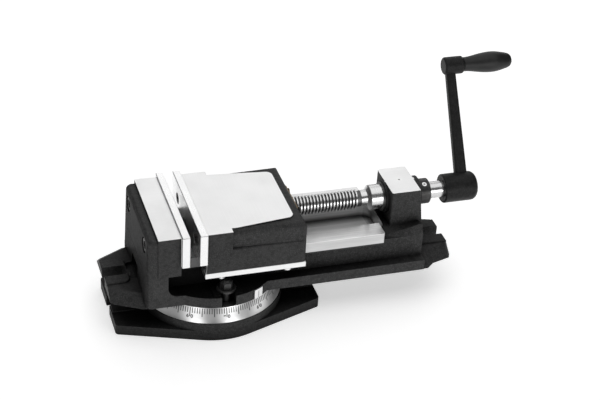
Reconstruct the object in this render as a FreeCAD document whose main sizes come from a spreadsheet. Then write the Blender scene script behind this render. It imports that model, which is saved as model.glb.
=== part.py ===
import FreeCAD, Part
import math
import os
import re
from FreeCAD import Placement, Rotation, Vector
import Sketcher

# Swivel-base machine vise, jaw plates 150 mm wide, in millimetres.
# The origin is on the swivel axis at the underside of the swivel base.  X runs along the
# spindle from the fixed jaw (-X) to the crank (+X), Y across the jaws, Z up.
# The pose is the vise with its jaws a little open.

os.makedirs("parts", exist_ok=True)
doc = FreeCAD.newDocument("MachineVise")

# Driving dimensions.
SIZES = {
    # swivel base
    "plate_thick": 13.5, "disc_rad": 90, "ear_end": 128.5, "ear_half": 50.4, "ear_round": 5,
    "ear_slot_in": 104, "ear_pad_half": 25, "ear_pad_in": 100, "ear_pad": 2,
    "slot_half": 9.3, "disc_top": 24.5, "dial_low_rad": 89, "dial_top_rad": 83.5,
    "base_top": 43.8, "bolt_circle": 67.2, "tee_open": 5.8, "tee_half": 11, "tee_floor": 24, "tee_lip": 35,
    "entry_rad": 11.5, "pivot_rad": 15, "pivot_top": 54, "pivot_low": 6,
    # vise body casting
    "body_low": 44, "flange_top": 58, "pad_top": 59.5, "flange_half": 61.5,
    "body_left": -95, "flange_step": -38, "body_right": 261, "foot_left": -134.5, "foot_right": 304.5,
    "foot_top": 56, "foot_slope": 17, "foot_pad_half": 25, "foot_pad_round": 8,
    "left_slot_in": 25, "right_slot_in": 18,
    "pocket_left": -104, "pocket_right": -86, "pocket_half": 17, "pocket_low": 53, "pocket_top": 71,
    "left_tip_half": 45, "left_toe_half": 49, "left_knee": -98, "left_knee_half": 66, "left_root_half": 66.6,
    "right_root": 267, "right_root_half": 60.5, "right_knee": 277, "right_knee_half": 51.5,
    "right_toe": 301.3, "right_toe_half": 44.2, "right_tip_half": 38,
    "web_half": 47, "rail_low": 86, "rail_top": 101.7, "rail_half": 55.5, "rail_end": 207,
    "trough_half": 31, "trough_floor": 72, "trough_end": 216, "trough_start": -50, "trough_round": 12,
    "pedestal_right": -68, "pedestal_top": 88, "pedestal_hollow": 12,
    "back_left": -94.8, "back_left_top": -92.3, "back_half": 68.4, "back_round": 8, "back_top": 138.5,
    "jaw_left": -80.4, "jaw_face": -52.7,
    "jaw_half": 69.4, "jaw_top": 141.6, "notch_half": 9, "bolt_x": 3.2, "bolt_y": 67, "bolt_pad_half": 18,
    "block_left": 222.5, "block_right": 259.6, "block_foot": 265, "block_half": 29,
    "rim_low": 83.6, "rim_low_end": 89, "rim_in": 41, "rim_top": 86.6, "rim_top_end": 100,
    "shoulder_top": 93, "shoulder_top_end": 96,
    "boss_rad": 20.8, "boss_left": 219.6, "boss_right": 265.8, "oiler_rad": 3, "oil_hole_rad": 1.2,
    # jaw plates and their screws
    "grip_width": 150, "grip_thick": 9.4, "grip_low": 101.9, "grip_top": 144.1, "opening": 12,
    "screw_y": 45.5, "screw_z": 122.4, "screw_rad": 6, "head_rad": 9, "head_len": 12, "cbore_rad": 10,
    "front_screw_rad": 4, "front_head_rad": 6.5, "front_cbore_rad": 7.2, "front_cbore": 7.6,
    # movable jaw
    "slide_left": -21.9, "slide_right": 101.8, "slide_low": 85.8, "skirt_in": 55.8, "channel_top": 101.9,
    "head_right": 9.4, "ledge": 116.6, "tongue_half": 30.7, "tongue_low": 76, "tongue_left": -12,
    "tongue_right": 94, "tunnel_rad": 14, "keeper_low": 78, "keeper_in": 47.6, "keeper_left": -23.3,
    "keeper_screw_y": 62.6, "keeper_screw_rad": 3, "keeper_head_rad": 4.75, "keeper_head": 4,
    "keeper_screw_step": 41,
    "crown_half": 66, "crown_end_half": 68.2, "crown_top": 139.8, "crown_round": 8, "jaw_round": 5,
    "land_half": 60.7, "land_right": 89, "land_right_half": 51.9, "land_round": 8,
    "nut_left": 67, "nut_rad": 15.3, "nut_flange_rad": 30,
    "nut_flange": 7, "nut_flange_top": 135.8, "nut_screw_circle": 23.5, "nut_screw_rad": 2.5,
    "nut_head_rad": 3.8, "nut_head": 3,
    # spindle, turned between the block and the nut
    "axis_z": 120.5, "thread_rad": 12, "root_rad": 9.8, "lead": 4.233, "spindle_tip": 68, "thread_end": 190.5,
    "neck_rad": 10.6, "collar_left": 201, "collar_rad": 15.8, "washer_left": 217.4, "journal_rad": 11,
    "bush_rad": 15, "shaft_rad": 10.7, "lock_left": 266.2, "lock_right": 280.5, "square_left": 303,
    "square_half": 7, "shaft_right": 336, "fit_gap": 0.05,
    # crank and its grip
    "hub_left": 300, "hub_right": 345, "hub_rad": 18.5, "crank_mid": 327.5, "crank_throw": 153.5,
    "crank_angle": -31, "arm_wide": 13, "arm_thick": 11, "eye_rad": 11.3, "eye_left": 319, "eye_right": 345,
    "grip_start": 345.6, "grip_len": 65, "grip_neck_rad": 9, "grip_rad": 13.2, "grip_tip_rad": 5.6, "grip_pin_rad": 3,
    "pin_head_rad": 4.4,
    # clamping hardware
    "stud_rad": 5, "stud_top": 72.3, "bolt_head_half": 9, "bolt_head": 7.5, "clamp_washer_rad": 12,
    "clamp_washer": 3, "nut_flats": 14.5, "nut_height": 8.4,
}

sheet = doc.addObject("Spreadsheet::Sheet", "Dimensions")
for row, (alias, size) in enumerate(SIZES.items(), 1):
    sheet.set(f"A{row}", alias)
    sheet.set(f"B{row}", str(size))
    sheet.setAlias(f"B{row}", alias)
doc.recompute()

WORD = re.compile(r"\b(" + "|".join(sorted(SIZES, key=len, reverse=True)) + r")\b")
TINY = 0.02


def bound(text):
    """An expression in sheet names, such as 'rail_top - rail_low', as the document reads it."""
    return WORD.sub(r"Dimensions.\1", str(text))


def size_of(text):
    return float(sheet.evalExpression(bound(text)))


def place(obj, corner, rotation=Rotation()):
    obj.Placement = Placement(Vector(*(size_of(c) for c in corner)), rotation)
    for letter, expression in zip("xyz", corner):
        obj.setExpression(f"Placement.Base.{letter}", bound(expression))
    return obj


def box(x, y, z, name="Block"):
    """A box between two sheet expressions along each axis."""
    obj = doc.addObject("Part::Box", name)
    for side, (low, high) in zip(("Length", "Width", "Height"), (x, y, z)):
        obj.setExpression(side, bound(f"({high}) - ({low})"))
    return place(obj, (x[0], y[0], z[0]))


AXIS_TURN = {
    "x": Rotation(Vector(0, 1, 0), 90),
    "y": Rotation(Vector(1, 0, 0), -90),
    "z": Rotation(),
}


def rod(radius, length, at, axis="z", name="Rod"):
    """A cylinder that starts at a point and runs along an axis."""
    obj = doc.addObject("Part::Cylinder", name)
    obj.setExpression("Radius", bound(radius))
    obj.setExpression("Height", bound(length))
    return place(obj, at, AXIS_TURN[axis])


def hexagon(flats, length, at, axis="z"):
    """A hexagonal prism measured across its flats."""
    obj = doc.addObject("Part::Prism", "Hexagon")
    obj.Polygon = 6
    obj.setExpression("Circumradius", bound(f"({flats}) / sqrt(3)"))
    obj.setExpression("Height", bound(length))
    return place(obj, at, AXIS_TURN[axis])


def join(pieces, name="Join"):
    obj = doc.addObject("Part::MultiFuse", name)
    obj.Shapes = pieces
    obj.Refine = True
    return obj


def cut(base, tools, name="Cut"):
    obj = doc.addObject("Part::Cut", name)
    obj.Base = base
    obj.Tool = tools[0] if len(tools) == 1 else join(tools, "Tools")
    obj.Refine = True
    return obj


def rounded(base, radius, picks):
    """Rounds every edge that picks(edge) accepts."""
    doc.recompute()
    obj = doc.addObject("Part::Fillet", "Rounded")
    obj.Base = base
    width = size_of(radius)
    obj.Edges = [(i, width, width) for i, edge in enumerate(base.Shape.Edges, 1) if picks(edge)]
    return obj


def bevelled(base, width, picks):
    doc.recompute()
    obj = doc.addObject("Part::Chamfer", "Bevelled")
    obj.Base = base
    cut_back = size_of(width)
    obj.Edges = [(i, cut_back, cut_back) for i, edge in enumerate(base.Shape.Edges, 1) if picks(edge)]
    return obj


def along(edge, axis):
    """True for a straight edge that runs along one axis."""
    if edge.Curve.TypeId != "Part::GeomLine":
        return False
    direction = edge.tangentAt(edge.FirstParameter)
    return abs(abs(getattr(direction, axis)) - 1) < 1e-6


def middle(edge):
    return edge.BoundBox.Center


def near(number, text):
    return abs(number - size_of(text)) < TINY


ORIGIN_POINT = (-1, 1)


def outline(body, role, points, level="0"):
    """A closed sketch of straight lines on one of the body's own planes; every corner is
    held at a distance from the origin that the sheet drives."""
    sketch = body.newObject("Sketcher::SketchObject", "Outline")
    plane = next(f for f in body.Origin.OriginFeatures if f.Role == role)
    sketch.AttachmentSupport = [(plane, "")]
    sketch.MapMode = "FlatFace"
    sketch.setExpression("AttachmentOffset.Base.z", bound(level))
    corners = [Vector(size_of(u), size_of(v), 0) for u, v in points]
    for i, start in enumerate(corners):
        sketch.addGeometry(Part.LineSegment(start, corners[(i + 1) % len(corners)]), False)
    for i, (u, v) in enumerate(points):
        sketch.addConstraint(Sketcher.Constraint("Coincident", i, 2, (i + 1) % len(points), 1))
        for kind, expression in (("DistanceX", u), ("DistanceY", v)):
            index = sketch.addConstraint(
                Sketcher.Constraint(kind, *ORIGIN_POINT, i, 1, size_of(expression)))
            sketch.setExpression(f"Constraints[{index}]", bound(expression))
    doc.recompute()
    return sketch


def prism(points, low, high, role="XY_Plane", name="Prism"):
    """A padded outline between two levels: XY pads up Z, YZ pads along X."""
    body = doc.addObject("PartDesign::Body", name)
    sketch = outline(body, role, points, low)
    pad = body.newObject("PartDesign::Pad", "Pad")
    pad.Profile = sketch
    pad.setExpression("Length", bound(f"({high}) - ({low})"))
    doc.recompute()
    return body


def turned(points, axis="x", name="Turned"):
    """A revolved outline.  Points are (distance along the axis, radius) for a shaft along X
    and (radius, height) for a disc about Z."""
    body = doc.addObject("PartDesign::Body", name)
    sketch = outline(body, "XZ_Plane", points)
    feature = body.newObject("PartDesign::Revolution", "Turning")
    feature.Profile = sketch
    feature.ReferenceAxis = (sketch, ["H_Axis" if axis == "x" else "V_Axis"])
    feature.Angle = 360
    doc.recompute()
    return body


def blended(first, low, second, high, role="XY_Plane", name="Blended"):
    """A straight-sided loft between two outlines with the same number of corners."""
    body = doc.addObject("PartDesign::Body", name)
    sections = [outline(body, role, first, low), outline(body, role, second, high)]
    loft = body.newObject("PartDesign::AdditiveLoft", "Loft")
    loft.Profile = sections[0]
    loft.Sections = [sections[1]]
    loft.Ruled = True
    doc.recompute()
    return body


def both(points):
    """Mirrors a half outline given from -X to +X on the +Y side across the X axis."""
    return points + [(x, f"-({y})") for x, y in reversed(points)]


def mirrored(text):
    return f"-({text})"


nodes = {}


def keep(name, obj):
    """Names a finished sub-part and the file that holds it."""
    obj.Label = name
    nodes[name] = obj
    return obj


SIDES = {"near": "-1", "far": "1"}


def side_range(sign, inner, outer):
    """Low and high Y of a stretch between two distances from the middle plane."""
    return (f"-({outer})", f"-({inner})") if sign == "-1" else (inner, outer)


# ---------------------------------------------------------------- swivel base
def swivel_base():
    corner = "atan2(ear_half; ear_end) + acos(disc_rad / sqrt(ear_half ^ 2 + ear_end ^ 2))"
    tangent = (f"disc_rad * cos({corner})", f"disc_rad * sin({corner})")
    ears = prism(both([("-ear_end", "ear_half"), (mirrored(tangent[0]), tangent[1]),
                       tangent, ("ear_end", "ear_half")]), "0", "plate_thick", name="EarPlate")
    ears = rounded(ears, "ear_round",
                   lambda e: along(e, "z") and near(abs(middle(e).x), "ear_end"))
    pads = []
    for reach in (("-ear_end + 1", "-ear_pad_in"), ("ear_pad_in", "ear_end - 1")):
        pad = box(reach, ("-ear_pad_half", "ear_pad_half"), ("plate_thick - 1", "plate_thick + ear_pad"))
        pads.append(rounded(pad, "1.5", lambda e: near(e.BoundBox.ZMin, "plate_thick + ear_pad")))
    disc = turned([("pivot_rad", "0"), ("disc_rad", "0"), ("disc_rad", "disc_top"),
                   ("dial_low_rad", "disc_top"), ("dial_top_rad", "base_top"),
                   ("bolt_circle + tee_open", "base_top"), ("bolt_circle + tee_open", "tee_lip"),
                   ("bolt_circle + tee_half", "tee_lip"), ("bolt_circle + tee_half", "tee_floor"),
                   ("bolt_circle - tee_half", "tee_floor"), ("bolt_circle - tee_half", "tee_lip"),
                   ("bolt_circle - tee_open", "tee_lip"), ("bolt_circle - tee_open", "base_top"),
                   ("pivot_rad", "base_top")], "z", "DialDisc")
    bored_ears = cut(ears, [rod("disc_rad - 10", "plate_thick + 2", ("0", "0", "-1"))])
    slots = []
    for end in ("-1", "1"):
        far_end = "ear_slot_in" if end == "1" else "-ear_end - 5"
        slots.append(box((far_end, f"({far_end}) + ear_end - ear_slot_in + 5"), ("-slot_half", "slot_half"),
                         ("-1", "plate_thick + ear_pad + 1")))
        slots.append(rod("slot_half", "plate_thick + ear_pad + 2", (f"{end} * ear_slot_in", "0", "-1")))
    entry = rod("entry_rad", "base_top", ("bolt_circle", "0", "tee_lip - 1"))
    return cut(join([bored_ears, disc] + pads), slots + [entry])


def pivot_pin():
    return bevelled(rod("pivot_rad", "pivot_top - pivot_low", ("0", "0", "pivot_low")), "1",
                    lambda e: near(middle(e).z, "pivot_top") and e.Length > 1)


# ---------------------------------------------------------------- vise body
def foot(end):
    """The slotted foot that reaches out from one end of the body; its flanks slope."""
    if end == "left":
        corners = [("foot_left + 1", "left_tip_half"), ("foot_left + 5", "left_toe_half"),
                   ("left_knee", "left_knee_half"), ("body_left + 2", "left_root_half")]
        pad_x = ("foot_left + 0.5", "pocket_left")
    else:
        corners = [("body_right - 6", "right_root_half"), ("right_root", "right_root_half"),
                   ("right_knee", "right_knee_half"), ("right_toe", "right_toe_half"),
                   ("foot_right", "right_tip_half")]
        pad_x = ("body_right - 1", "foot_right - 0.5")
    top = [(x, f"{y} - foot_slope") for x, y in corners]
    sole = blended(both(corners), "body_low", both(top), "foot_top", name="FootSole")
    pad = box(pad_x, ("-foot_pad_half", "foot_pad_half"), ("foot_top - 2", "flange_top"))
    if end == "left":
        pad = rounded(pad, "foot_pad_round", lambda e: along(e, "z") and near(middle(e).x, pad_x[1]))
    pad = rounded(pad, "1.8", lambda e: near(e.BoundBox.ZMin, "flange_top"))
    return [sole, pad]


def foot_slot(end):
    if end == "left":
        inner = "foot_left + left_slot_in"
        reach = ("foot_left - 1", inner)
    else:
        inner = "foot_right - right_slot_in"
        reach = (inner, "foot_right + 1")
    return [box(reach, ("-slot_half", "slot_half"), ("body_low - 1", "flange_top + 1")),
            rod("slot_half", "28", (inner, "0", "body_low - 1"))]


def fixed_jaw_casting():
    block = box(("jaw_left", "jaw_face"), ("-jaw_half", "jaw_half"), ("pedestal_top", "jaw_top"))
    back = prism([("back_left", "flange_top - 1"), ("back_left_top", "back_top"),
                  ("pedestal_right", "back_top"), ("pedestal_right", "flange_top - 1")],
                 "-back_half", "back_half", "XZ_Plane", "Back")
    back = rounded(back, "back_round", lambda e: e.BoundBox.ZLength > 50
                   and middle(e).x < size_of("back_left_top"))
    back = rounded(back, "5", lambda e: near(e.BoundBox.ZMin, "back_top")
                   and e.BoundBox.XMax < size_of("pedestal_right - 1"))
    return [block, back]


def pedestal_fillet():
    """The hollow curve where the jaw's foot runs into the flange."""
    strip = box(("pedestal_right - 1", "pedestal_right + pedestal_hollow"),
                ("-back_half", "back_half"), ("flange_top - 1", "flange_top + pedestal_hollow"))
    hollow = rod("pedestal_hollow", "2 * back_half + 2",
                 ("pedestal_right + pedestal_hollow", "-back_half - 1", "flange_top + pedestal_hollow"), "y")
    return cut(strip, [hollow])


def bearing_block():
    """The block that carries the spindle's bush, on a shoulder whose rim rises to meet it."""
    def section(low, rim, top):
        half = [("web_half", "flange_top - 1"), ("web_half", low), ("rim_in", rim), ("block_half", top)]
        return half + [(f"-{y}", z) for y, z in reversed(half)]

    shoulder = blended(section("rim_low", "rim_top", "shoulder_top"), "rail_end - 4",
                       section("rim_low_end", "rim_top_end", "shoulder_top_end"), "body_right",
                       "YZ_Plane", "Shoulder")
    block = prism([("block_left", "flange_top - 1"), ("block_left", "jaw_top"), ("block_right", "jaw_top"),
                   ("block_foot", "shoulder_top"), ("block_foot", "flange_top - 1")],
                  "-block_half", "block_half", "XZ_Plane", "Block")
    block = rounded(block, "2", lambda e: along(e, "z") and near(middle(e).x, "block_left"))
    boss = rod("boss_rad", "boss_right - boss_left", ("boss_left", "0", "axis_z"), "x")
    boss = cut(boss, [box(("boss_left - 1", "boss_right + 1"), ("-boss_rad", "boss_rad"),
                          ("jaw_top", "jaw_top + 10"))])
    return [shoulder, block, boss]


def vise_body():
    flange = prism(both([("body_left", "back_half"), ("flange_step", "back_half"),
                         ("flange_step + 4", "flange_half"), ("body_right", "flange_half")]),
                   "body_low", "flange_top", name="Flange")
    flange = rounded(flange, "back_round", lambda e: along(e, "z") and near(middle(e).x, "body_left"))
    bulge = rod("dial_top_rad", "flange_top - body_low", ("0", "0", "body_low"))
    bolt_pad = box(("bolt_x - bolt_pad_half", "bolt_x + bolt_pad_half"),
                   ("-dial_top_rad + 4.5", "dial_top_rad - 4.5"), ("flange_top - 1", "pad_top"))
    web = box(("body_left + 1", "body_right - 2"), ("-web_half", "web_half"),
              ("flange_top - 1", "rail_low + 1"))
    rails = box(("jaw_face - 4", "rail_end"), ("-rail_half", "rail_half"), ("rail_low", "rail_top"))
    rails = bevelled(rails, "1.2", lambda e: along(e, "z") and near(middle(e).x, "rail_end"))
    solid = join([flange, bulge, bolt_pad, web, rails, pedestal_fillet()] + fixed_jaw_casting()
                 + bearing_block() + foot("left") + foot("right"), "BodyCasting")
    trough = rounded(box(("trough_start", "trough_end"), ("-trough_half", "trough_half"),
                         ("trough_floor", "rail_top + 20")), "trough_round",
                     lambda e: along(e, "z") and near(middle(e).x, "trough_end"))
    plate_seat = box(("jaw_face", "trough_start + 1"), ("-trough_half", "trough_half"),
                     ("trough_floor + 12", "rail_top + 20"))
    back_pocket = box(("pocket_left", "pocket_right"), ("-pocket_half", "pocket_half"),
                      ("pocket_low", "pocket_top"))
    back_pocket = rounded(back_pocket, "5", lambda e: along(e, "z") or near(e.BoundBox.ZMin, "pocket_top"))
    tools = [trough, plate_seat, back_pocket, rod("pivot_rad + fit_gap", "12", ("0", "0", "body_low - 1")),
             rod("bush_rad", "70", ("rail_end - 4", "0", "axis_z"), "x"),
             rod("oiler_rad", "40", (OILER_X, "0", "axis_z + 5"))]
    for sign in SIDES.values():
        y = f"{sign} * screw_y"
        tools.append(rod("screw_rad + 0.5", "50", ("back_left - 1", y, "screw_z"), "x"))
        tools.append(rod("cbore_rad", "head_len + 4", ("back_left - 1", y, "screw_z"), "x"))
        y_low, y_high = side_range(sign, "bolt_y", "dial_top_rad + 5")
        tools.append(box(("bolt_x - notch_half", "bolt_x + notch_half"), (y_low, y_high),
                         ("body_low - 1", "pad_top + 1")))
        tools.append(rod("notch_half", "20", ("bolt_x", f"{sign} * bolt_y", "body_low - 1")))
    return cut(solid, tools + foot_slot("left") + foot_slot("right"))


OILER_X = "(block_left + block_right) / 2"


def index_plate():
    """A small curved plate on the flange's edge, whose line reads against the dial."""
    ring = cut(rod("dial_top_rad + 1.5", "flange_top - body_low - 1.2", ("0", "0", "body_low + 0.6")),
               [rod("dial_top_rad", "20", ("0", "0", "body_low"))])
    window = box(("70", "90"), ("-6.5", "6.5"), ("body_low", "flange_top + 2"))
    piece = doc.addObject("Part::MultiCommon", "IndexPlate")
    piece.Shapes = [ring, window]
    piece.Placement = Placement(Vector(), Rotation(Vector(0, 0, 1), -60))
    return piece


def bearing_bush():
    return cut(rod("bush_rad", "boss_right - boss_left", ("boss_left", "0", "axis_z"), "x"),
               [rod("journal_rad + fit_gap", "60", ("boss_left - 1", "0", "axis_z"), "x"),
                rod("oil_hole_rad", "bush_rad + 1", (OILER_X, "0", "axis_z"))])


def block_oiler():
    """A drilled cup over the bush's oil hole."""
    low = "axis_z + bush_rad + 0.1"
    cup = rod("oiler_rad", "jaw_top - axis_z - bush_rad - 0.1", (OILER_X, "0", low))
    return cut(cup, [rod("oil_hole_rad", "10", (OILER_X, "0", f"{low} - 1"))])


# ---------------------------------------------------------------- jaw plates and screws
def plate_blank(left):
    plate = box((left, f"{left} + grip_thick"), ("-grip_width / 2", "grip_width / 2"),
                ("grip_low", "grip_top"))
    return bevelled(plate, "0.6", lambda e: True)


def fixed_jaw_plate():
    holes = [rod("screw_rad", "grip_thick + 2", ("jaw_face - 1", f"{sign} * screw_y", "screw_z"), "x")
             for sign in SIDES.values()]
    return cut(plate_blank("jaw_face"), holes)


def movable_jaw_plate():
    left = "jaw_face + grip_thick + opening"
    holes = []
    for sign in SIDES.values():
        y = f"{sign} * screw_y"
        holes.append(rod("front_screw_rad", "grip_thick + 2", (f"{left} - 1", y, "screw_z"), "x"))
        holes.append(rod("front_cbore_rad", "front_cbore + 1", (f"{left} - 1", y, "screw_z"), "x"))
    return cut(plate_blank(left), holes)


def cap_screw(head_left, y, z, head_radius, head_length, radius, reach, key_flats):
    """A socket head cap screw that runs along +X from its head."""
    head = rod(head_radius, head_length, (head_left, y, z), "x")
    head = bevelled(head, "0.8", lambda e: near(middle(e).x, head_left) and e.Length > 1)
    shank = rod(radius, reach, (head_left, y, z), "x")
    socket = hexagon(key_flats, f"({head_length}) * 0.6 + 1", (f"{head_left} - 1", y, z), "x")
    return cut(join([head, shank]), [socket])


def fixed_plate_screws():
    reach = "jaw_face + grip_thick - 2 - back_left - 3"
    return join([cap_screw("back_left + 3", f"{sign} * screw_y", "screw_z", "head_rad", "head_len",
                           "screw_rad", reach, "10") for sign in SIDES.values()])


def movable_plate_screws():
    left = "jaw_face + grip_thick + opening + 0.8"
    return join([cap_screw(left, f"{sign} * screw_y", "screw_z", "front_head_rad", "front_cbore - 0.8",
                           "front_screw_rad", "26", "6") for sign in SIDES.values()])


# ---------------------------------------------------------------- movable jaw
def movable_jaw():
    lower = box(("slide_left", "slide_right"), ("-jaw_half", "jaw_half"), ("slide_low", "ledge"))
    lower = rounded(lower, "2.5", lambda e: near(e.BoundBox.ZMin, "ledge") and along(e, "x"))
    head = box(("slide_left", "head_right"), ("-jaw_half", "jaw_half"), ("ledge - 4", "jaw_top"))
    crown = prism(both([("slide_left + 2", "crown_half"), ("head_right + 4", "crown_half"),
                        ("slide_right", "crown_end_half")]), "ledge - 4", "crown_top", name="Crown")
    crown = rounded(crown, "crown_round",
                    lambda e: near(e.BoundBox.ZMin, "crown_top") and middle(e).x > size_of("head_right"))
    land = prism(both([("slide_left + 2", "land_half"), ("head_right + 6.6", "land_half"),
                       ("land_right", "land_right_half")]), "crown_top - 8", "jaw_top", name="Land")
    land = rounded(land, "land_round", lambda e: along(e, "z") and near(middle(e).x, "land_right"))
    tongue = box(("tongue_left", "tongue_right"), ("-tongue_half", "tongue_half"),
                 ("tongue_low", "channel_top + 1"))
    channel = box(("slide_left - 1", "slide_right + 1"), ("-skirt_in", "skirt_in"),
                  ("slide_low - 1", "channel_top"))
    envelope = box(("slide_left - 1", "slide_right"), ("-jaw_half", "jaw_half"),
                   ("slide_low - 1", "jaw_top + 1"))
    envelope = rounded(envelope, "jaw_round", lambda e: along(e, "z") and near(middle(e).x, "slide_right"))
    shell = doc.addObject("Part::MultiCommon", "JawShell")
    shell.Shapes = [join([lower, head, crown, land]), envelope]
    casting = join([cut(shell, [channel]), tongue], "JawCasting")
    tools = [rod("tunnel_rad", "nut_left - slide_left + 2", ("slide_left - 1", "0", "axis_z"), "x"),
             rod("nut_rad", "60", ("nut_left", "0", "axis_z"), "x"),
             nut_flange("nut_flange_rad", "nut_flange + 1", "0")]
    for sign in SIDES.values():
        tools.append(rod("front_screw_rad", "20", ("slide_left - 1", f"{sign} * screw_y", "screw_z"), "x"))
        tools += [rod("keeper_screw_rad", "12", (x, f"{sign} * keeper_screw_y", "slide_low - 1"))
                  for x in keeper_x()]
    tools += [rod("nut_screw_rad", "nut_flange + 12", ("slide_right - nut_flange - 11", y, z), "x")
              for y, z in nut_screw_places()]
    return cut(casting, tools)


def nut_flange(radius, length, inset):
    """The nut's round flange, with flats above and below that keep it from turning."""
    disc = rod(radius, length, ("slide_right - nut_flange", "0", "axis_z"), "x")
    flats = box(("slide_right - nut_flange", "slide_right + 2"), (f"-({radius}) - 1", f"{radius} + 1"),
                (f"channel_top + 2 + {inset}", f"nut_flange_top - {inset}"))
    flange = doc.addObject("Part::MultiCommon", "NutFlange")
    flange.Shapes = [disc, flats]
    return flange


def jaw_nut():
    barrel = rod("nut_rad", "slide_right - nut_left", ("nut_left", "0", "axis_z"), "x")
    bore = rod("thread_rad + fit_gap", "80", ("nut_left - 1", "0", "axis_z"), "x")
    tools = [bore] + [rod("nut_screw_rad", "nut_flange + 2", ("slide_right - nut_flange - 1", y, z), "x")
                      for y, z in nut_screw_places()]
    return cut(join([barrel, nut_flange("nut_flange_rad - 0.2", "nut_flange", "0.2")]), tools)


def nut_screw_places():
    """Four screws around the nut, two on each side of the spindle and clear of the flats."""
    angles = (22, 158, 202, 338)
    return [(f"nut_screw_circle * cos({a})", f"axis_z + nut_screw_circle * sin({a})") for a in angles]


def jaw_nut_screws():
    screws = []
    for y, z in nut_screw_places():
        head = rod("nut_head_rad", "nut_head", ("slide_right", y, z), "x")
        shank = rod("nut_screw_rad", "nut_flange + 10", ("slide_right - nut_flange - 9", y, z), "x")
        socket = hexagon("4", "3", ("slide_right + 1.4", y, z), "x")
        screws.append(cut(join([head, shank]), [socket]))
    return join(screws)


def keeper_x():
    return [f"(keeper_left + slide_right) / 2 {sign} keeper_screw_step" for sign in "-+"]


def keeper(sign):
    y_low, y_high = side_range(sign, "keeper_in", "jaw_half")
    strip = box(("keeper_left", "slide_right"), (y_low, y_high), ("keeper_low", "slide_low"))
    strip = bevelled(strip, "0.6", lambda e: True)
    return cut(strip, [rod("keeper_screw_rad", "20", (x, f"{sign} * keeper_screw_y", "keeper_low - 1"))
                       for x in keeper_x()])


def keeper_screws(sign):
    screws = []
    for x in keeper_x():
        y = f"{sign} * keeper_screw_y"
        head = rod("keeper_head_rad", "keeper_head", (x, y, "keeper_low - keeper_head"))
        head = bevelled(head, "0.5", lambda e: near(middle(e).z, "keeper_low - keeper_head") and e.Length > 1)
        shank = rod("keeper_screw_rad", "keeper_head + 17", (x, y, "keeper_low - keeper_head"))
        socket = hexagon("4.5", "3", (x, y, "keeper_low - keeper_head - 1"))
        screws.append(cut(join([head, shank]), [socket]))
    return join(screws)


# ---------------------------------------------------------------- spindle
def thread_ridge():
    """One trapezoidal ridge wound left-handed, so turning the crank clockwise closes the jaw."""
    lead, root, crest = size_of("lead"), size_of("root_rad"), size_of("thread_rad")
    start, end = size_of("spindle_tip + lead"), size_of("thread_end - lead")
    sunk = root - 0.4
    path = Part.makeHelix(lead, end - start, sunk, 0, True)
    tip_half, foot_half = lead * 0.185, lead * 0.34
    profile = Part.makePolygon([Vector(sunk, 0, -foot_half), Vector(crest, 0, -tip_half),
                                Vector(crest, 0, tip_half), Vector(sunk, 0, foot_half),
                                Vector(sunk, 0, -foot_half)])
    ridge = Part.Wire(path).makePipeShell([profile], True, True)
    ridge.Placement = Placement(Vector(start, 0, size_of("axis_z")), AXIS_TURN["x"])
    piece = doc.addObject("Part::Feature", "ThreadRidge")
    piece.Shape = ridge
    return piece


def spindle():
    core = turned([("spindle_tip", "0"), ("spindle_tip", "root_rad - 1"), ("spindle_tip + 1", "root_rad"),
                   ("thread_end", "root_rad"), ("thread_end", "neck_rad"), ("collar_left - 3", "neck_rad"),
                   ("collar_left", "collar_rad - 1"), ("collar_left + 1", "collar_rad"),
                   ("washer_left - 0.1", "collar_rad"), ("washer_left - 0.1", "journal_rad"),
                   ("boss_right", "journal_rad"), ("boss_right", "shaft_rad"), ("square_left", "shaft_rad"),
                   ("square_left", "0")], "x", "SpindleCore")
    place(core, ("0", "0", "axis_z"))
    end = box(("square_left - 1", "shaft_right"), ("-square_half", "square_half"),
              ("axis_z - square_half", "axis_z + square_half"))
    end = bevelled(end, "1.2", lambda e: along(e, "x"))
    return join([core, swung(end), thread_ridge()])


def thrust_washer():
    return cut(rod("collar_rad + 2.5", "boss_left - 0.1 - washer_left", ("washer_left", "0", "axis_z"), "x"),
               [rod("journal_rad + fit_gap", "10", ("washer_left - 1", "0", "axis_z"), "x")])


SET_SCREW_LEAN = Rotation(Vector(1, 0, 0), 25)


def leaning_rod(radius, length, lift):
    """A rod along the lock collar's set screw, measured out from the spindle's axis."""
    obj = rod(radius, length, ("(lock_left + lock_right) / 2", "0", "axis_z"))
    obj.Placement = Placement(
        Vector(size_of("(lock_left + lock_right) / 2"), 0, size_of("axis_z"))
        + SET_SCREW_LEAN.multVec(Vector(0, 0, size_of(lift))), SET_SCREW_LEAN)
    for letter, offset in zip("yz", (f"-({lift}) * sin(25)", f"({lift}) * cos(25)")):
        obj.setExpression(f"Placement.Base.{letter}",
                          bound(offset if letter == "y" else f"axis_z + {offset}"))
    return obj


def lock_collar():
    collar = rod("collar_rad + 0.3", "lock_right - lock_left", ("lock_left", "0", "axis_z"), "x")
    collar = bevelled(collar, "0.8", lambda e: e.Curve.TypeId == "Part::GeomCircle")
    return cut(collar, [rod("shaft_rad", "40", ("lock_left - 1", "0", "axis_z"), "x"),
                        leaning_rod("3", "12", "shaft_rad - 1")])


def collar_set_screw():
    screw = leaning_rod("3", "4.6", "shaft_rad + 0.3")
    socket = leaning_rod("1.5", "3", "shaft_rad + 2.6")
    return cut(screw, [socket])


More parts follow.
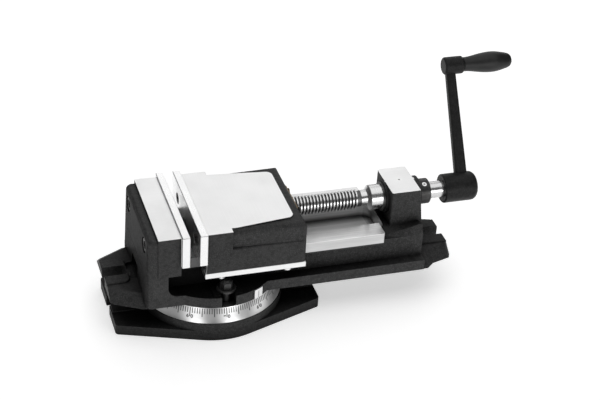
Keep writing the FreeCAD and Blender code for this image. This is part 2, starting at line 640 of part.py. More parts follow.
# ---------------------------------------------------------------- crank
def crank_arm():
    hub = rod("hub_rad", "hub_right - hub_left", ("hub_left", "0", "axis_z"), "x")
    hub = rounded(hub, "8", lambda e: near(middle(e).x, "hub_right") and e.Length > 30)
    hub = rounded(hub, "2", lambda e: near(middle(e).x, "hub_left") and e.Length > 30)
    arm = prism([("crank_mid - arm_wide / 2 - 1.5", "axis_z"), ("crank_mid + arm_wide / 2 + 1.5", "axis_z"),
                 ("crank_mid + arm_wide / 2 - 0.5", "axis_z + crank_throw"),
                 ("crank_mid - arm_wide / 2 + 0.5", "axis_z + crank_throw")],
                "-arm_thick / 2", "arm_thick / 2", "XZ_Plane", "Arm")
    arm = rounded(arm, "3.2", lambda e: not along(e, "x") and not along(e, "y"))
    eye = rod("eye_rad", "eye_right - eye_left", ("eye_left", "0", "axis_z + crank_throw"), "x")
    eye = rounded(eye, "3", lambda e: e.Curve.TypeId == "Part::GeomCircle")
    square = box(("hub_left + 2", "shaft_right + 1"), ("-square_half - 0.08", "square_half + 0.08"),
                 ("axis_z - square_half - 0.08", "axis_z + square_half + 0.08"))
    mouth = rod("shaft_rad + 0.3", "square_left - hub_left + 1.5", ("hub_left - 1", "0", "axis_z"), "x")
    pin_hole = rod("grip_pin_rad", "60", ("eye_left + 4", "0", "axis_z + crank_throw"), "x")
    return cut(join([hub, arm, eye]), [square, mouth, pin_hole])


def swung(piece):
    """Turns a finished crank piece about the spindle to where the crank rests."""
    obj = doc.addObject("Part::Compound", "Swung")
    obj.Links = [piece]
    obj.Placement = Placement(Vector(), Rotation(Vector(1, 0, 0), size_of("crank_angle")))
    obj.setExpression("Placement.Base.y", bound("axis_z * sin(crank_angle)"))
    obj.setExpression("Placement.Base.z", bound("axis_z - axis_z * cos(crank_angle)"))
    return obj


def grip_end():
    return "grip_start + grip_len"


def grip_pin():
    pin = turned([("eye_left + 4", "0"), ("eye_left + 4", "grip_pin_rad"),
                  (f"{grip_end()} - 5", "grip_pin_rad"), (f"{grip_end()} - 5", "pin_head_rad"),
                  (f"{grip_end()} - 1.8", "pin_head_rad"), (f"{grip_end()} - 1.8", "0")], "x", "GripPin")
    place(pin, ("0", "0", "axis_z + crank_throw"))
    slot = box((f"{grip_end()} - 3", f"{grip_end()}"), ("-8", "8"),
               ("axis_z + crank_throw - 0.5", "axis_z + crank_throw + 0.5"))
    return cut(pin, [slot])


def crank_grip():
    """The turned grip: a spindle shape, fullest near its middle, that runs out to a blunt tip."""
    start, length = size_of("grip_start"), size_of("grip_len")
    neck, full, tip = size_of("grip_neck_rad"), size_of("grip_rad"), size_of("grip_tip_rad")
    nose = start + 0.58 * length
    end_x = start + length
    swell = Part.BSplineCurve()
    swell.interpolate([Vector(start, 0, neck), Vector(start + 0.27 * length, 0, neck + 0.5 * (full - neck)),
                       Vector(nose, 0, full)],
                      InitialTangent=Vector(1, 0, 0), FinalTangent=Vector(1, 0, 0))
    tail = Part.BSplineCurve()
    tail.interpolate([Vector(nose, 0, full), Vector(start + 0.86 * length, 0, 0.8 * full),
                      Vector(end_x, 0, tip)],
                     InitialTangent=Vector(1, 0, 0), FinalTangent=Vector(0.5, 0, -1))
    bore, recess, deep = size_of("grip_pin_rad + fit_gap"), size_of("pin_head_rad + 0.1"), end_x - 5.1
    corners = [(end_x, tip), (end_x, recess), (deep, recess), (deep, bore), (start, bore), (start, neck)]
    lines = [Part.makeLine(Vector(x0, 0, r0), Vector(x1, 0, r1))
             for (x0, r0), (x1, r1) in zip(corners, corners[1:])]
    face = Part.Face(Part.Wire([swell.toShape(), tail.toShape()] + lines))
    piece = doc.addObject("Part::Feature", "Grip")
    piece.Shape = face.revolve(Vector(0, 0, 0), Vector(1, 0, 0), 360)
    piece.Placement = Placement(Vector(0, 0, size_of("axis_z + crank_throw")), Rotation())
    return piece


# ---------------------------------------------------------------- swivel clamps
def tee_bolt(sign):
    y = f"{sign} * bolt_y"
    head = box(("bolt_x - bolt_head_half", "bolt_x + bolt_head_half"),
               (f"{y} - bolt_head_half", f"{y} + bolt_head_half"),
               ("tee_lip - 0.3 - bolt_head", "tee_lip - 0.3"))
    shank = rod("stud_rad", "stud_top - tee_lip + 3", ("bolt_x", y, "tee_lip - 3"))
    shank = bevelled(shank, "1", lambda e: near(middle(e).z, "stud_top") and e.Length > 1)
    return join([head, shank])


def clamp_washer(sign):
    y = f"{sign} * bolt_y"
    disc = rod("clamp_washer_rad", "clamp_washer", ("bolt_x", y, "pad_top"))
    disc = bevelled(disc, "0.8", lambda e: near(middle(e).z, "pad_top + clamp_washer") and e.Length > 1)
    return cut(disc, [rod("stud_rad + 0.4", "10", ("bolt_x", y, "pad_top - 1"))])


def clamp_nut(sign):
    y = f"{sign} * bolt_y"
    low = "pad_top + clamp_washer + 0.1"
    prism_part = hexagon("nut_flats", "nut_height", ("bolt_x", y, low))
    crown = rod("nut_flats / 2 + 1", "nut_height", ("bolt_x", y, low))
    crown = bevelled(crown, "1.6", lambda e: near(middle(e).z, f"{low} + nut_height") and e.Length > 1)
    body = doc.addObject("Part::MultiCommon", "NutBody")
    body.Shapes = [prism_part, crown]
    return cut(body, [rod("stud_rad + fit_gap", "20", ("bolt_x", y, f"{low} - 1"))])


keep("swivel_base", swivel_base())
keep("pivot_pin", pivot_pin())
keep("vise_body", vise_body())
keep("index_plate", index_plate())
keep("bearing_bush", bearing_bush())
keep("block_oiler", block_oiler())
keep("fixed_jaw_plate", fixed_jaw_plate())
keep("fixed_plate_screws", fixed_plate_screws())
keep("movable_jaw", movable_jaw())
keep("movable_jaw_plate", movable_jaw_plate())
keep("movable_plate_screws", movable_plate_screws())
keep("jaw_nut", jaw_nut())
keep("jaw_nut_screws", jaw_nut_screws())
keep("spindle", spindle())
keep("thrust_washer", thrust_washer())
keep("lock_collar", lock_collar())
keep("collar_set_screw", collar_set_screw())
keep("crank_arm", swung(crank_arm()))
keep("grip_pin", swung(grip_pin()))
keep("crank_grip", swung(crank_grip()))
for side, sign in SIDES.items():
    keep(f"keeper_{side}", keeper(sign))
    keep(f"keeper_screws_{side}", keeper_screws(sign))
    keep(f"t_bolt_{side}", tee_bolt(sign))
    keep(f"clamp_washer_{side}", clamp_washer(sign))
    keep(f"clamp_nut_{side}", clamp_nut(sign))

doc.recompute()
for obj in doc.Objects:
    if "Invalid" in obj.State or "Error" in obj.State:
        raise RuntimeError(f"{obj.Name} ({obj.Label}) did not rebuild: {obj.State}")
for name, obj in nodes.items():
    if obj.Shape.isNull() or not obj.Shape.isValid():
        raise RuntimeError(f"{name} has no valid shape")
for name, obj in nodes.items():
    obj.Shape.exportStep(f"parts/{name}.step")
print(len(nodes), "sub-parts written")
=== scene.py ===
"""A machine vise on a graduated swivel base: its looks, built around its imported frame.

Lengths are in metres. X runs along the spindle, Z up, and the swivel turns about Z."""

import math

import bpy
from mathutils import Matrix, Vector


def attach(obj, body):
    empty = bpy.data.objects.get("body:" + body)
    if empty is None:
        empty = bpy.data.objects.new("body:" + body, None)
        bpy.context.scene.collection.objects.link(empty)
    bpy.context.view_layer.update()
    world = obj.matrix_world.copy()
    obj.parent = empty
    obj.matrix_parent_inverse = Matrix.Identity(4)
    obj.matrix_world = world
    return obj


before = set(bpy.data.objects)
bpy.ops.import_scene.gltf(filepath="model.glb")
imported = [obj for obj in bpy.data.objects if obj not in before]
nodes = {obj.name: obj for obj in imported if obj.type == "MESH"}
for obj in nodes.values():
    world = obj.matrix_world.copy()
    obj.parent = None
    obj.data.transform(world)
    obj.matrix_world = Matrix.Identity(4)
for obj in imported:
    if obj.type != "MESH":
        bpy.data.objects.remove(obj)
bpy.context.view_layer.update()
scene = bpy.context.scene


# ------------------------------------------------------------------ camera, floor and light
CAMERA_AT = Vector((-0.4036, -1.5369, 1.1661))
CAMERA_AZIMUTH = math.radians(18.563)
CAMERA_ELEVATION = math.radians(32.613)
CAMERA_ROLL = math.radians(3.443)
SENSOR_WIDTH = 36.0           # in millimetres, like the focal length
FOCAL_LENGTH = 93.78

FLOOR_HALF = 6.0
FLOOR_DROP = 0.0002
FLOOR_GREY = 0.93
FLOOR_GLOW = 0.52
SKY_GLOW = 0.07
LAMPS = [                     # name, place, target, size, power
    ("back_panel", (0.9, 2.6, 1.6), (0.1, 0, 0.1), (3.2, 1.8), 20),
    ("left_box", (-1.15, -2.05, 0.36), (0, 0, 0.1), (0.9, 0.7), 7),
    ("right_box", (0.9, -2.0, 0.36), (0.1, 0, 0.1), (0.9, 0.7), 9.5),
    ("top_box", (0.1, 0.1, 2.3), (0.1, 0, 0.05), (3.0, 3.0), 33),
]


def make_camera():
    turn, drop = CAMERA_AZIMUTH, CAMERA_ELEVATION
    forward = Vector((math.sin(turn) * math.cos(drop), math.cos(turn) * math.cos(drop), -math.sin(drop)))
    right = forward.cross(Vector((0, 0, 1))).normalized()
    up = right.cross(forward)
    rolled_right = math.cos(CAMERA_ROLL) * right + math.sin(CAMERA_ROLL) * up
    rolled_up = -math.sin(CAMERA_ROLL) * right + math.cos(CAMERA_ROLL) * up
    data = bpy.data.cameras.new("view")
    data.sensor_width = SENSOR_WIDTH
    data.lens = FOCAL_LENGTH
    data.clip_end = 50
    camera = bpy.data.objects.new("view", data)
    scene.collection.objects.link(camera)
    facing = Matrix((rolled_right, rolled_up, -forward)).transposed()
    camera.matrix_world = Matrix.Translation(CAMERA_AT) @ facing.to_4x4()
    scene.camera = camera


def make_floor():
    corners = [(x * FLOOR_HALF, y * FLOOR_HALF, 0) for x, y in ((-1, -1), (1, -1), (1, 1), (-1, 1))]
    mesh = bpy.data.meshes.new("floor")
    mesh.from_pydata(corners, [], [(0, 1, 2, 3)])
    floor = bpy.data.objects.new("floor", mesh)
    scene.collection.objects.link(floor)
    floor.location.z = -FLOOR_DROP
    pale = bpy.data.materials.new("pale_floor")
    pale.use_nodes = True
    shader = pale.node_tree.nodes["Principled BSDF"]
    shader.inputs["Base Color"].default_value = (FLOOR_GREY, FLOOR_GREY, FLOOR_GREY, 1)
    shader.inputs["Roughness"].default_value = 0.9
    shader.inputs["Specular IOR Level"].default_value = 0.0
    shader.inputs["Emission Color"].default_value = (1, 1, 1, 1)
    shader.inputs["Emission Strength"].default_value = FLOOR_GLOW
    mesh.materials.append(pale)


def soft_light(name, at, aim, size, power):
    data = bpy.data.lights.new(name, "AREA")
    data.shape = "RECTANGLE"
    data.size, data.size_y = size
    data.energy = power
    lamp = bpy.data.objects.new(name, data)
    scene.collection.objects.link(lamp)
    facing = (Vector(aim) - Vector(at)).to_track_quat("-Z", "Y").to_matrix()
    lamp.matrix_world = Matrix.Translation(at) @ facing.to_4x4()


def make_sky():
    world = bpy.data.worlds.new("studio")
    world.use_nodes = True
    background = world.node_tree.nodes["Background"]
    background.inputs["Color"].default_value = (1, 1, 1, 1)
    background.inputs["Strength"].default_value = SKY_GLOW
    scene.world = world
    scene.view_settings.view_transform = "Standard"


make_camera()
make_floor()
make_sky()
for lamp_row in LAMPS:
    soft_light(*lamp_row)


# ------------------------------------------------------------------ material graphs
FREE = None                   # a box's corner with no limit along an axis
FAR = 1.0


class Graph:
    """A material's nodes, made one call at a time; values may be numbers or sockets."""

    def __init__(self, name):
        self.material = bpy.data.materials.new(name)
        self.material.use_nodes = True
        self.tree = self.material.node_tree
        self.shader = self.tree.nodes["Principled BSDF"]
        place = self.add("ShaderNodeTexCoord", {})
        self.here = place.outputs["Object"]
        self.x, self.y, self.z = self.add("ShaderNodeSeparateXYZ", {0: self.here}).outputs

    def put(self, socket, value):
        if isinstance(value, bpy.types.NodeSocket):
            self.tree.links.new(value, socket)
        else:
            socket.default_value = value

    def add(self, kind, values, **settings):
        made = self.tree.nodes.new(kind)
        for key, value in settings.items():
            setattr(made, key, value)
        for key, value in values.items():
            self.put(made.inputs[key], value)
        return made

    def math(self, operation, *values):
        return self.add("ShaderNodeMath", dict(enumerate(values)), operation=operation).outputs[0]

    def most(self, values):
        total = values[0]
        for value in values[1:]:
            total = self.math("MAXIMUM", total, value)
        return total

    def ramp(self, value, low, high, bottom=0.0, top=1.0):
        return self.add("ShaderNodeMapRange", {"Value": value, "From Min": low, "From Max": high,
                                               "To Min": bottom, "To Max": top}).outputs["Result"]

    def stretched(self, scale):
        return self.add("ShaderNodeVectorMath", {0: self.here, 1: scale}, operation="MULTIPLY").outputs[0]

    def noise(self, vector, scale, detail=3.0, roughness=0.55):
        """Soft noise with about so many features to the metre."""
        return self.add("ShaderNodeTexNoise", {"Vector": vector, "Scale": scale, "Detail": detail,
                                               "Roughness": roughness}).outputs["Fac"]

    def blend(self, factor, first, second):
        made = self.add("ShaderNodeMix", {0: factor}, data_type="RGBA")
        self.put(made.inputs[6], first)
        self.put(made.inputs[7], second)
        return made.outputs[2]

    def lerp(self, factor, first, second):
        made = self.add("ShaderNodeMix", {0: factor}, data_type="FLOAT")
        self.put(made.inputs[2], first)
        self.put(made.inputs[3], second)
        return made.outputs[0]

    def inside(self, low, high):
        """1 within a box given by two corners, which FREE leaves open along an axis."""
        parts = []
        for axis, lo, hi in zip((self.x, self.y, self.z), low, high):
            if lo is not FREE:
                parts.append(self.math("COMPARE", axis, (lo + hi) / 2, (hi - lo) / 2))
        total = parts[0]
        for part in parts[1:]:
            total = self.math("MULTIPLY", total, part)
        return total

    def edges(self, radius, low, high):
        """1 on sharp outer edges, 0 on flats."""
        bent = self.add("ShaderNodeBevel", {"Radius": radius}, samples=4).outputs[0]
        flat = self.add("ShaderNodeNewGeometry", {}).outputs["Normal"]
        match = self.add("ShaderNodeVectorMath", {0: bent, 1: flat}, operation="DOT_PRODUCT").outputs["Value"]
        return self.ramp(self.math("SUBTRACT", 1.0, match), low, high)

    def openness(self, distance, low):
        """1 on open faces, falling towards 0 where other surfaces crowd in within a distance."""
        crowd = self.add("ShaderNodeAmbientOcclusion", {"Distance": distance}, samples=8).outputs["AO"]
        return self.ramp(crowd, low, 0.88, 0.06, 1.0)

    def bump(self, height, distance):
        return self.add("ShaderNodeBump", {"Height": height, "Distance": distance,
                                           "Strength": 1.0}).outputs[0]

    def shade(self, **values):
        for key, value in values.items():
            self.put(self.shader.inputs[key.replace("_", " ")], value)
        return self.material


def grey(value, warmth=0.0):
    return (value * (1 + warmth), value, value * (1 - warmth), 1)


# ------------------------------------------------------------------ steel, bronze and plastic
GRIND_ALONG = {"x": (6, 900, 900), "y": (900, 6, 900), "z": (900, 900, 6)}
TURNED = (1700, 30, 30)       # stretches noise into rings about X
SPINDLE_HEIGHT = 0.1205
THREAD_ENDS = (0.060, 0.1903)
THREAD_ROOT = 0.0101
THREAD_CREST = 0.0117
SQUARE_START = 0.3032


def steel_parts(graph, along, bright):
    """Colour, roughness and height of ground steel whose fine lines run along one axis."""
    lines = graph.noise(graph.stretched(GRIND_ALONG[along]), 1.6, 4.0, 0.65)
    clouds = graph.noise(graph.here, 26)
    colour = graph.blend(graph.ramp(lines, 0.25, 0.75), grey(bright * 0.93), grey(bright))
    colour = graph.blend(graph.ramp(clouds, 0.45, 0.8, 0, 0.35), colour, grey(bright * 0.86))
    rough = graph.math("ADD", graph.ramp(lines, 0.3, 0.7, 0.30, 0.40),
                       graph.ramp(clouds, 0.3, 0.7, -0.03, 0.05))
    return colour, rough, lines


def ground_steel(name, along, polish=0.0):
    """Bright ground steel, rubbed brighter at its edges."""
    graph = Graph(name)
    colour, rough, lines = steel_parts(graph, along, 0.92)
    rough = graph.math("SUBTRACT", rough, polish)
    worn = graph.math("MULTIPLY", graph.edges(0.0007, 0.02, 0.25), 0.6)
    colour = graph.blend(worn, colour, grey(0.95))
    return graph.shade(Base_Color=colour, Metallic=1.0, Roughness=rough, Normal=graph.bump(lines, 0.00002))


def turned_steel(name):
    """Bright steel with fine turning rings about X."""
    graph = Graph(name)
    cuts = graph.noise(graph.stretched(TURNED), 1.0)
    oil = graph.noise(graph.here, 45, 4.0)
    colour = graph.blend(graph.ramp(cuts, 0.3, 0.7), grey(0.64), grey(0.8))
    colour = graph.blend(graph.ramp(oil, 0.5, 0.85, 0, 0.4), colour, grey(0.48, 0.02))
    rough = graph.math("ADD", graph.ramp(cuts, 0.3, 0.7, 0.2, 0.3),
                       graph.ramp(oil, 0.3, 0.7, -0.04, 0.06))
    return graph.shade(Base_Color=colour, Metallic=1.0, Roughness=rough, Normal=graph.bump(cuts, 0.000004))


def threaded_steel(name):
    """The spindle: bright crests and journals, painted shade in the thread's roots and a dull square end."""
    graph = Graph(name)
    cuts = graph.noise(graph.stretched(TURNED), 1.0)
    oil = graph.noise(graph.here, 160, 4.0)
    across = graph.math("SUBTRACT", graph.z, SPINDLE_HEIGHT)
    radius = graph.math("SQRT", graph.math("ADD", graph.math("MULTIPLY", graph.y, graph.y),
                                           graph.math("MULTIPLY", across, across)))
    low, high = THREAD_ENDS
    deep = graph.math("MULTIPLY", graph.ramp(radius, THREAD_ROOT, THREAD_CREST, 1, 0),
                      graph.inside((low, FREE, FREE), (high, FREE, FREE)))
    # Painted shade: the thread's roots are darkened, unevenly.
    root_shade = graph.math("MULTIPLY", deep, graph.ramp(oil, 0.2, 0.6, 0.75, 1))
    square = graph.math("GREATER_THAN", graph.x, SQUARE_START)
    dulled = graph.math("MULTIPLY", square, graph.ramp(oil, 0.3, 0.7, 0.6, 0.8))
    colour = graph.blend(graph.ramp(cuts, 0.3, 0.7), grey(0.6), grey(0.72))
    colour = graph.blend(root_shade, colour, grey(0.09))
    colour = graph.blend(dulled, colour, grey(0.14))
    rough = graph.math("ADD", graph.ramp(cuts, 0.3, 0.7, 0.26, 0.3), graph.math("MULTIPLY", deep, 0.22))
    return graph.shade(Base_Color=colour, Metallic=1.0, Roughness=rough)


def dark_steel(name, shade, dull):
    """Oil-blackened steel, rubbed bright at its corners."""
    graph = Graph(name)
    grain = graph.noise(graph.here, 900)
    stain = graph.noise(graph.here, 120)
    colour = graph.blend(graph.ramp(stain, 0.3, 0.75), grey(shade * 0.7, 0.02), grey(shade * 1.4))
    rubbed = graph.math("MULTIPLY", graph.edges(0.0006, 0.02, 0.25), graph.ramp(stain, 0.25, 0.6))
    colour = graph.blend(graph.math("MULTIPLY", rubbed, 0.6), colour, grey(0.42))
    rough = graph.ramp(grain, 0.3, 0.7, dull - 0.06, dull + 0.08)
    return graph.shade(Base_Color=colour, Metallic=0.85, Roughness=rough, Normal=graph.bump(grain, 0.00004))


def dull_bronze(name):
    """Very dark bronze with turning rings."""
    graph = Graph(name)
    cuts = graph.noise(graph.stretched((3200, 60, 60)), 1.0)
    stain = graph.noise(graph.here, 90, 4.0)
    colour = graph.blend(graph.ramp(stain, 0.3, 0.7), (0.12, 0.085, 0.05, 1), (0.24, 0.17, 0.1, 1))
    rough = graph.ramp(cuts, 0.3, 0.7, 0.26, 0.4)
    return graph.shade(Base_Color=colour, Metallic=1.0, Roughness=rough, Normal=graph.bump(cuts, 0.00003))


def moulded_plastic(name):
    """Black plastic with a fine skin and wiped patches."""
    graph = Graph(name)
    skin = graph.noise(graph.here, 1300, 2.0)
    wipe = graph.noise(graph.here, 40, 4.0)
    colour = graph.blend(graph.ramp(wipe, 0.35, 0.75), grey(0.012), grey(0.03))
    rough = graph.math("ADD", graph.ramp(wipe, 0.3, 0.7, 0.36, 0.5),
                       graph.ramp(skin, 0.3, 0.7, -0.03, 0.03))
    return graph.shade(Base_Color=colour, Roughness=rough, Specular_IOR_Level=0.25,
                       Normal=graph.bump(skin, 0.00003))


# ------------------------------------------------------------------ castings
FLANGE_TOP = 0.0580
BARE_TOP = 0.1412             # just under the top faces of both jaws and the block
CASTING_SHADE = 0.033
PAINT_SHINE = 0.13
SHADE_REACH = 0.055           # how near another surface has to be for painted shade to fall
SHADE_LOW = 0.3
SHEEN_RATE = 150.0            # bands of painted reflection along X, in radians to the metre
SHEEN_START = 1.346

BODY_BARE = [
    ((-0.0815, FREE, BARE_TOP), (-0.0525, FREE, FAR)),            # fixed jaw's top
    ((-0.0530, FREE, 0.1010), (-0.0521, FREE, FAR)),              # its seat for the plate
    ((0.2220, FREE, BARE_TOP), (0.2610, FREE, FAR)),              # block's top
    ((-0.0850, -0.0600, 0.0438), (0.0850, 0.0600, 0.0442)),       # seat on the swivel base
]
TROUGH = ((-0.0510, -0.0316, 0.0718), (0.2080, 0.0316, 0.1012))
TROUGH_FLOOR = ((FREE, -0.0310, 0.0715), (FREE, 0.0310, 0.0725))
TROUGH_WALLS = ((FREE, -0.0320, 0.0725), (FREE, 0.0320, 0.1008))
WAY_SIDES = ((FREE, FREE, 0.0868), (FREE, FREE, 0.1012))
WAYS = [
    ((-0.0521, FREE, 0.1014), (0.2080, FREE, 0.1030)),            # tops
    ((-0.0521, -0.0560, 0.0882), (0.2080, -0.0550, 0.1030)),      # outer sides
    ((-0.0521, 0.0550, 0.0882), (0.2080, 0.0560, 0.1030)),
    ((0.2070, -0.0316, 0.0718), (0.2170, 0.0316, 0.0925)),        # trough's end
    TROUGH,
]
# Painted shadow under the jaws: these boxes darken the paint, fading out along X.
JAW_SHADOW_ZONES = [
    ((-0.0520, FREE, FLANGE_TOP - 0.0002), (0.1000, FREE, 0.0880)),   # flange and web under the jaws
    ((-0.0800, -0.0660, FLANGE_TOP - 0.0002), (-0.0520, 0.0660, 0.0880)),
]
JAW_SHADOW_FADE = (0.05, 0.1)
BACK = ((-0.0960, FREE, FREE), (-0.0915, FREE, FREE))
JAW_BARE = [
    ((FREE, FREE, BARE_TOP), (FREE, FREE, FAR)),                  # top
    ((-0.0225, FREE, FREE), (-0.0217, FREE, FREE)),               # seat for the plate
    ((FREE, -0.0561, 0.0850), (FREE, 0.0561, 0.1022)),            # inside of the skirts
]
BASE_BARE = [
    ((FREE, FREE, 0.0247), (FREE, FREE, 0.0440)),                 # dial band and top ring
    ((FREE, FREE, -0.0010), (FREE, FREE, 0.0003)),                # underside
]


def within(graph, boxes):
    return graph.most([graph.inside(low, high) for low, high in boxes])


def paint_parts(graph, shade, dull, reach, low):
    """Colour, roughness, height and openness of black paint over sand-cast iron; the colour holds painted
    shade where other surfaces crowd in.
    """
    sand = graph.noise(graph.here, 820, 4.0, 0.62)
    dimples = graph.noise(graph.here, 210)
    swell = graph.noise(graph.here, 24)
    paint = graph.blend(graph.ramp(swell, 0.35, 0.7), grey(shade * 0.85), grey(shade * 1.2))
    paint = graph.blend(graph.ramp(sand, 0.48, 0.72, 0, 0.75), paint, grey(shade * 2.8))
    paint = graph.blend(graph.ramp(dimples, 0.3, 0.55, 0.45, 0), paint, grey(shade * 0.25))
    worn = graph.math("MULTIPLY", graph.edges(0.0011, 0.03, 0.3), graph.ramp(dimples, 0.35, 0.65))
    paint = graph.blend(graph.math("MULTIPLY", worn, 0.35), paint, grey(0.14))
    # Painted shade: the paint darkens towards near-black where other surfaces crowd in.
    open_face = graph.openness(reach, low)
    paint = graph.blend(open_face, grey(shade * 0.08), paint)
    gloss = graph.math("ADD", graph.ramp(sand, 0.3, 0.7, dull - 0.06, dull + 0.08),
                       graph.ramp(swell, 0.3, 0.7, -0.04, 0.04))
    relief = graph.math("ADD", graph.math("MULTIPLY", sand, 0.55), dimples)
    return paint, gloss, relief, open_face


def painted_iron(name):
    """A small casting, painted all over."""
    graph = Graph(name)
    paint, gloss, relief, _ = paint_parts(graph, 0.015, 0.42, SHADE_REACH, SHADE_LOW)
    return graph.shade(Base_Color=paint, Roughness=gloss, Specular_IOR_Level=PAINT_SHINE,
                       Normal=graph.bump(relief, 0.0003))


def way_parts(graph):
    """Colour, roughness and height of the sliding ways: planed iron, streaked with oil along X, with
    painted shade between the jaws and a painted shadow along the trough's corners."""
    lines = graph.noise(graph.stretched((7, 420, 420)), 1.4, 5.0, 0.7)
    film = graph.noise(graph.stretched((9, 60, 60)), 1.0)
    colour = graph.blend(graph.ramp(lines, 0.3, 0.72), grey(0.7), grey(0.95))
    colour = graph.blend(graph.ramp(film, 0.42, 0.75, 0, 0.5), colour, grey(0.42))
    off_middle = graph.math("ABSOLUTE", graph.y)
    outside = graph.math("GREATER_THAN", off_middle, 0.045)
    outer = graph.math("MULTIPLY", graph.inside(*WAY_SIDES), outside)
    colour = graph.blend(graph.math("MULTIPLY", outer, 0.42), colour, grey(0.3))
    on_floor = graph.math("MULTIPLY", graph.inside(*TROUGH_FLOOR),
                          graph.ramp(off_middle, 0.018, 0.029, 0.15, 0.9))
    on_walls = graph.math("MULTIPLY", graph.inside(*TROUGH_WALLS),
                          graph.ramp(graph.z, 0.0735, 0.0790, 0.9, 0))
    # Painted shade between the jaws and a painted shadow along the trough's floor and far wall.
    way_shade = graph.most([on_floor, on_walls, graph.ramp(graph.x, 0.02, 0.085, 0.9, 0)])
    colour = graph.blend(way_shade, colour, grey(0.08))
    rough = graph.math("ADD", graph.ramp(lines, 0.3, 0.7, 0.3, 0.44), graph.math("MULTIPLY", way_shade, 0.1))
    return colour, rough, lines


def machined_iron(name, zones, along="x", bright=0.86, crowd_shade=0.35, reach=SHADE_REACH, low=SHADE_LOW,
                  is_body=False, painted_sheen=False):
    """A painted casting, bare where a zone says so, darkened by painted shade where other surfaces crowd in.
    The body also has its ways, a painted shadow under the jaws and thick matt paint on its back.
    Painted reflection can darken the bare metal in bands along X."""
    graph = Graph(name)
    paint, gloss, relief, open_face = paint_parts(graph, CASTING_SHADE, 0.5, reach, low)
    colour, rough, lines = steel_parts(graph, along, bright)
    bare = metal = within(graph, zones)
    shine = PAINT_SHINE
    if is_body:
        # Painted shadow under the jaws, with almost no shine there.
        jaw_shadow = graph.math("MULTIPLY", within(graph, JAW_SHADOW_ZONES), graph.ramp(graph.x, *JAW_SHADOW_FADE, 0.88, 0))
        paint = graph.blend(jaw_shadow, paint, grey(CASTING_SHADE * 0.15))
        shine = graph.lerp(jaw_shadow, shine, 0.02)
        shine = graph.lerp(graph.inside(*BACK), shine, 0.015)
        sliding = within(graph, WAYS)
        way_colour, way_rough, way_lines = way_parts(graph)
        colour = graph.blend(sliding, colour, way_colour)
        rough = graph.lerp(sliding, rough, way_rough)
        lines = graph.lerp(sliding, lines, way_lines)
        bare = graph.most([bare, sliding])
        in_trough = graph.inside(*TROUGH)
        metal = graph.math("SUBTRACT", bare, graph.math("MULTIPLY", in_trough, 0.7))
        # The trough is spared most of the painted shade.
        open_face = graph.most([open_face, graph.math("MULTIPLY", in_trough, 0.9)])
    # Painted shade: bare metal darkens where other surfaces crowd in, and the shine drops there too.
    colour = graph.blend(graph.lerp(crowd_shade, 1.0, open_face), grey(0.05), colour)
    if painted_sheen:
        # Painted reflection: the bare metal darkens in soft bands along X.
        band = graph.math("SINE", graph.math("ADD", graph.math("MULTIPLY", graph.x, SHEEN_RATE), SHEEN_START))
        colour = graph.blend(graph.ramp(band, -0.8, 0.9), grey(bright * 0.42), colour)
    height = graph.lerp(bare, relief, graph.math("MULTIPLY", lines, 0.1))
    return graph.shade(Base_Color=graph.blend(bare, paint, colour), Metallic=metal,
                       Roughness=graph.lerp(bare, gloss, rough),
                       Specular_IOR_Level=graph.math("MULTIPLY", open_face, shine),
                       Normal=graph.bump(height, 0.00022))


# ------------------------------------------------------------------ finishes
FINISHES = {
    "body_iron": machined_iron("body_iron", BODY_BARE, is_body=True),
    "jaw_iron": machined_iron("jaw_iron", JAW_BARE, along="y", reach=0.015, low=0.05),
    "base_iron": machined_iron("base_iron", BASE_BARE, along="z", bright=0.8, crowd_shade=0.8, painted_sheen=True),
    "crank_iron": painted_iron("crank_iron"),
    "plate_steel": ground_steel("plate_steel", "y", polish=0.06),
    "strip_steel": ground_steel("strip_steel", "x"),
    "spindle_steel": threaded_steel("spindle_steel"),
    "pin_steel": turned_steel("pin_steel"),
    "dark_steel": dark_steel("dark_steel", 0.055, 0.4),
    # Painted shade: near-black steel for screws that sit in dark holes.
    "shaded_screw_steel": dark_steel("shaded_screw_steel", 0.012, 0.6),
    "bronze": dull_bronze("bronze"),
    "grip_plastic": moulded_plastic("grip_plastic"),
}
DRESS = {
    "body_iron": ["vise_body"],
    "jaw_iron": ["movable_jaw"],
    "base_iron": ["swivel_base"],
    "crank_iron": ["crank_arm"],
    "plate_steel": ["fixed_jaw_plate", "movable_jaw_plate", "index_plate"],
    "strip_steel": ["keeper_near", "keeper_far", "keeper_screws_near", "keeper_screws_far",
                    "collar_set_screw", "block_oiler"],
    "spindle_steel": ["spindle"],
    "pin_steel": ["pivot_pin"],
    "shaded_screw_steel": ["movable_plate_screws", "jaw_nut_screws"],
    "dark_steel": ["fixed_plate_screws", "t_bolt_near", "t_bolt_far", "clamp_washer_near",
                   "clamp_washer_far", "clamp_nut_near", "clamp_nut_far", "thrust_washer",
                   "lock_collar", "grip_pin"],
    "bronze": ["jaw_nut", "bearing_bush"],
    "grip_plastic": ["crank_grip"],
}
for finish, names in DRESS.items():
    for name in names:
        for material_slot in nodes[name].material_slots:
            material_slot.material = FINISHES[finish]


# ------------------------------------------------------------------ softened casting edges
SOFT_EDGES = {"vise_body": 0.0009, "movable_jaw": 0.0008, "swivel_base": 0.0008}
WELD_REACH = 0.00001
SHARP_ANGLE = math.radians(40)


def soften(name, width):
    """Joins the frame's split corners and rounds what is still sharp."""
    node = nodes[name]
    weld = node.modifiers.new("weld", "WELD")
    weld.merge_threshold = WELD_REACH
    bevel = node.modifiers.new("soft_edges", "BEVEL")
    bevel.limit_method = "ANGLE"
    bevel.angle_limit = SHARP_ANGLE
    bevel.width = width
    bevel.segments = 3


for name, width in SOFT_EDGES.items():
    soften(name, width)


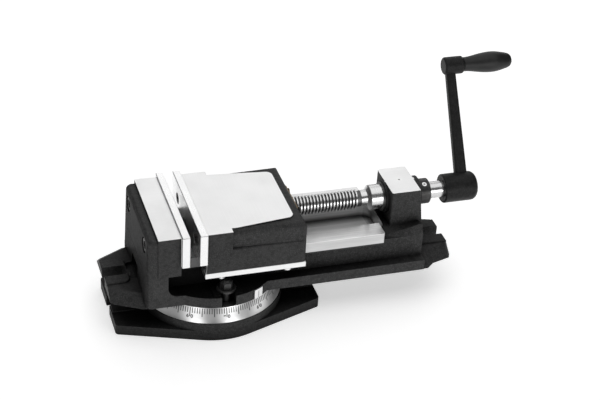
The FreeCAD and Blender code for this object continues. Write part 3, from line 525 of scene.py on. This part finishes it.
# ------------------------------------------------------------------ dial graduations
DIAL_LOW = Vector((0.0890, 0.0245))      # radius and height of the band's lower edge
DIAL_TOP = Vector((0.0835, 0.0438))
PROUD = 0.00006
MARK_START = 0.0009
MARK_STEP = 2
MARKS = {30: (0.0125, 0.0005), 10: (0.0115, 0.0005), MARK_STEP: (0.0078, 0.00048)}   # length, half width
DIGIT_SIZE = 0.0060
DIGIT_WEIGHT = 0.00016
DIGIT_FOOT = 0.0140
DIGIT_SPREAD = 0.0025                    # from a long mark to the digit on either side of it
LONE_DROP = 0.0016                       # a single digit stands clear of the mark's end
INDEX_ANGLE = math.radians(-60)
INDEX_HALF = 0.004
INDEX_RADIUS = DIAL_TOP.x + 0.00156
INDEX_HEIGHTS = (0.0450, 0.0548)


def on_dial(angle, down):
    """A point on the band: an angle about Z and a distance down from its top edge."""
    slope = (DIAL_LOW - DIAL_TOP).normalized()
    radius, height = DIAL_TOP + slope * down
    radius += PROUD
    return Vector((radius * math.cos(angle), radius * math.sin(angle), height))


def mark_material():
    graph = Graph("mark_ink")
    patch = graph.noise(graph.here, 900)
    colour = graph.blend(graph.ramp(patch, 0.45, 0.8), grey(0.008), grey(0.05))
    return graph.shade(Base_Color=colour, Roughness=graph.ramp(patch, 0.3, 0.7, 0.5, 0.7),
                       Normal=graph.bump(patch, 0.00003))


INK = mark_material()


def new_piece(name, points, faces, material, body):
    mesh = bpy.data.meshes.new(name)
    mesh.from_pydata(points, [], faces)
    mesh.materials.append(material)
    piece = bpy.data.objects.new(name, mesh)
    scene.collection.objects.link(piece)
    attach(piece, body)


def mark_size(degree):
    """Length and half width of the mark at a degree: the longest that it calls for."""
    return next(size for step, size in MARKS.items() if degree % step == 0)


def dial_ticks():
    points, faces = [], []
    for degree in range(0, 360, MARK_STEP):
        length, half = mark_size(degree)
        angle = math.radians(degree)
        spread = half / DIAL_TOP.x
        first = len(points)
        for turn, down in ((-spread, MARK_START), (-spread, length), (spread, length), (spread, MARK_START)):
            points.append(on_dial(angle + turn, down))
        faces.append((first, first + 1, first + 2, first + 3))
    new_piece("dial_ticks", points, faces, INK, "base")


def glyph_mesh(text):
    curve = bpy.data.curves.new("glyph", "FONT")
    curve.body = text
    curve.size = DIGIT_SIZE
    curve.offset = DIGIT_WEIGHT
    curve.align_x = "CENTER"
    holder = bpy.data.objects.new("glyph", curve)
    scene.collection.objects.link(holder)
    mesh = bpy.data.meshes.new_from_object(holder)
    bpy.data.objects.remove(holder)
    return mesh


def dial_numbers():
    """0 at both ends of the base, 90 across it; the digits stand either side of the long mark."""
    points, faces = [], []
    for degree in range(0, 360, 30):
        value = degree % 180
        digits = str(min(value, 180 - value))
        alone = len(digits) == 1
        shifts = [0.0] if alone else [-DIGIT_SPREAD, DIGIT_SPREAD]
        foot = DIGIT_FOOT + (LONE_DROP if alone else 0)
        for digit, shift in zip(digits, shifts):
            glyph = glyph_mesh(digit)
            first = len(points)
            for vertex in glyph.vertices:
                angle = math.radians(degree) + (shift + vertex.co.x) / DIAL_TOP.x
                points.append(on_dial(angle, foot - vertex.co.y))
            faces += [tuple(first + index for index in face.vertices) for face in glyph.polygons]
            bpy.data.meshes.remove(glyph)
    new_piece("dial_numbers", points, faces, INK, "base")


def index_line():
    """The line on the body's index plate that reads against the dial."""
    low, high = INDEX_HEIGHTS
    points = []
    for turn, height in ((-INDEX_HALF, low), (INDEX_HALF, low), (INDEX_HALF, high), (-INDEX_HALF, high)):
        angle = INDEX_ANGLE + turn
        points.append(Vector((INDEX_RADIUS * math.cos(angle), INDEX_RADIUS * math.sin(angle), height)))
    new_piece("index_line", points, [(0, 1, 2, 3)], INK, "vise")


dial_ticks()
dial_numbers()
index_line()
